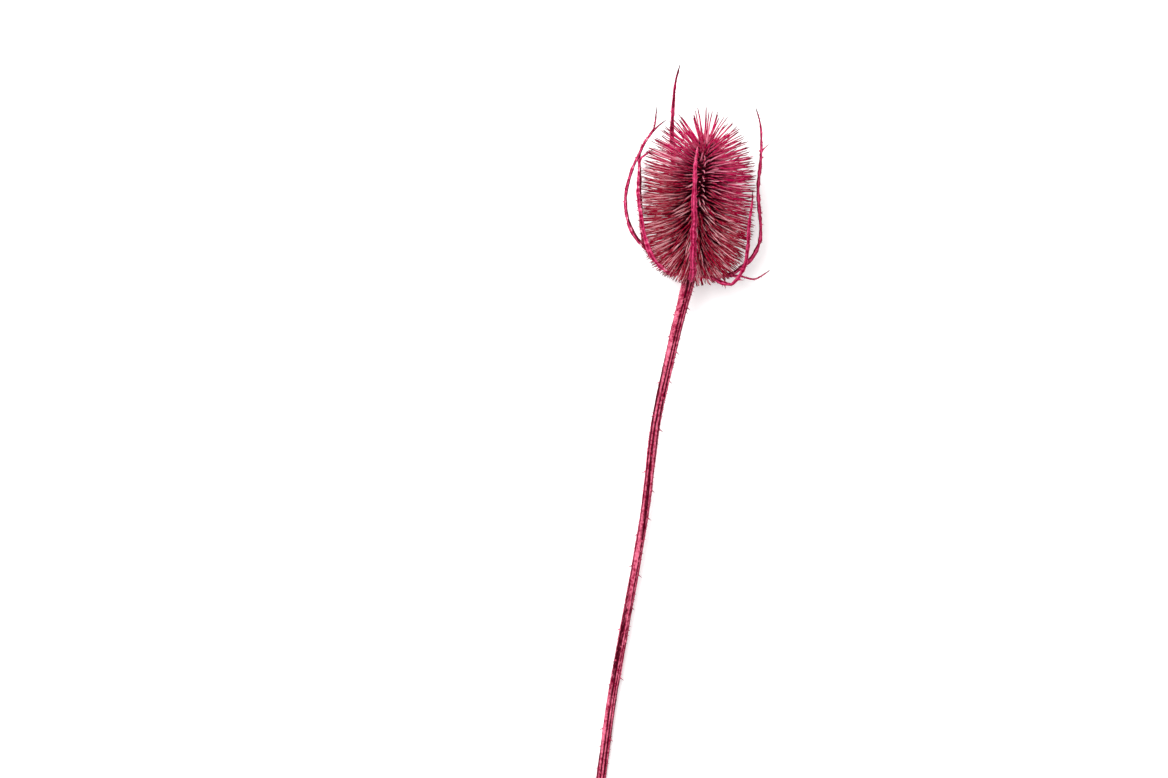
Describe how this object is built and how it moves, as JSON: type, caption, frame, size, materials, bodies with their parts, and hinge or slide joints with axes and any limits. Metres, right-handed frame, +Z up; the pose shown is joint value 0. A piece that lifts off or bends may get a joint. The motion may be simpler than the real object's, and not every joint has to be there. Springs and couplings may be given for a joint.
{
  "type": "teasel seed head",
  "caption": "Dried teasel seed head, dyed crimson, on its cut prickly stalk, with long narrow bracts that curve up round the spines. It lies on its side.",
  "frame": {"origin": "the middle of the plant's outline seen from above, on the surface that it lies on", "axes": "+X to the right, +Y from the stalk's cut end towards the head's top, +Z up from the surface"},
  "size_m": [0.0747, 0.3088, 0.0553],
  "materials": {
    "spines": "matte",
    "stalk": "matte",
    "bracts": "matte"
  },
  "bodies": {
    "root": {"seed_head": "spines", "stalk": "stalk", "bract_front": "bracts", "bract_right_front": "bracts", "bract_right": "bracts", "bract_right_small": "bracts", "bract_back": "bracts", "bract_left_back": "bracts", "bract_left": "bracts", "bract_left_front": "bracts"}
  },
  "joints": []
}
